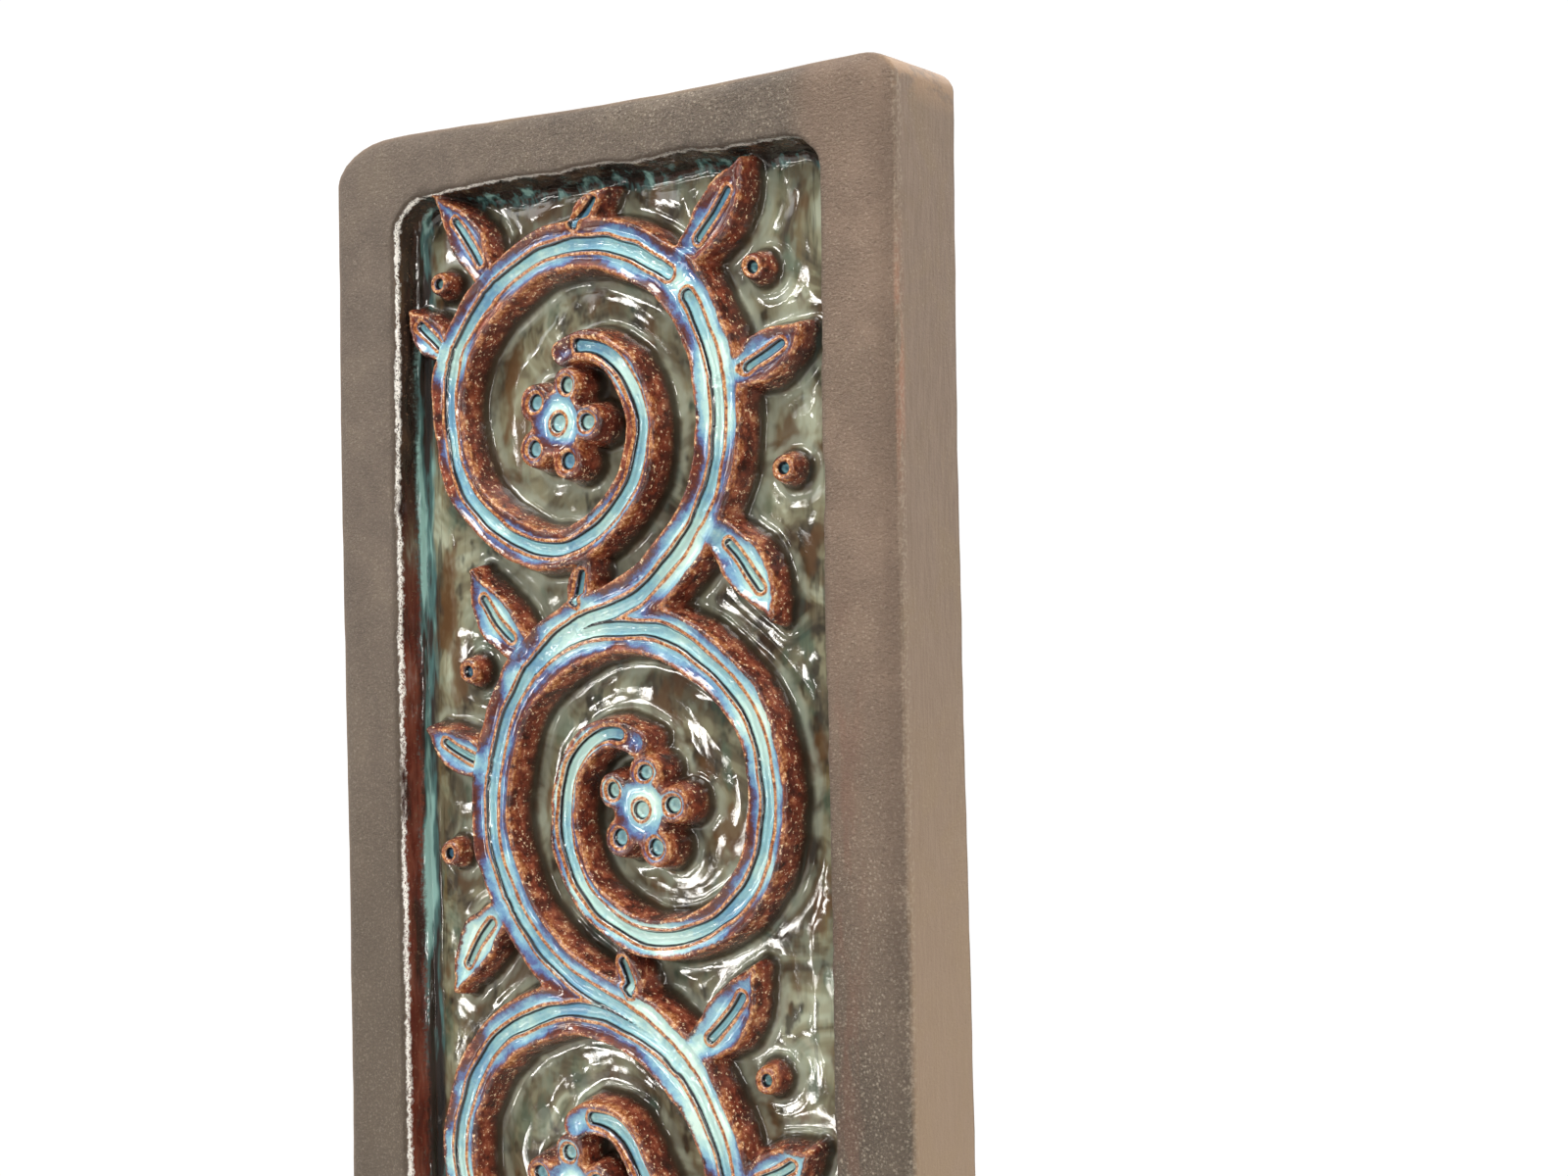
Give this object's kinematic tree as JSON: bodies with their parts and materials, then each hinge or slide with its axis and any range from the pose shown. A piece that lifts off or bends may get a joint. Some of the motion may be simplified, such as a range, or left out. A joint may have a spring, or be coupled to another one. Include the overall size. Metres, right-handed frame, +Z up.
{
  "type": "decorative wall plaque",
  "caption": "Tall stoneware wall plaque with a plain raised border round a sunk, glazed panel of running scroll relief, with a hanging pocket in its back.",
  "frame": {"origin": "centre of the flat back face, which lies against the wall", "axes": "+X to the right as the front is seen, +Y into the wall, so the relief faces -Y, +Z up"},
  "size_m": [0.1424, 0.024, 0.375],
  "materials": {
    "stoneware": "matte grey-brown fired clay border; glossy dark olive, rust and turquoise-blue running glazes in the sunk panel"
  },
  "bodies": {
    "root": {"plaque": "stoneware"}
  },
  "joints": []
}
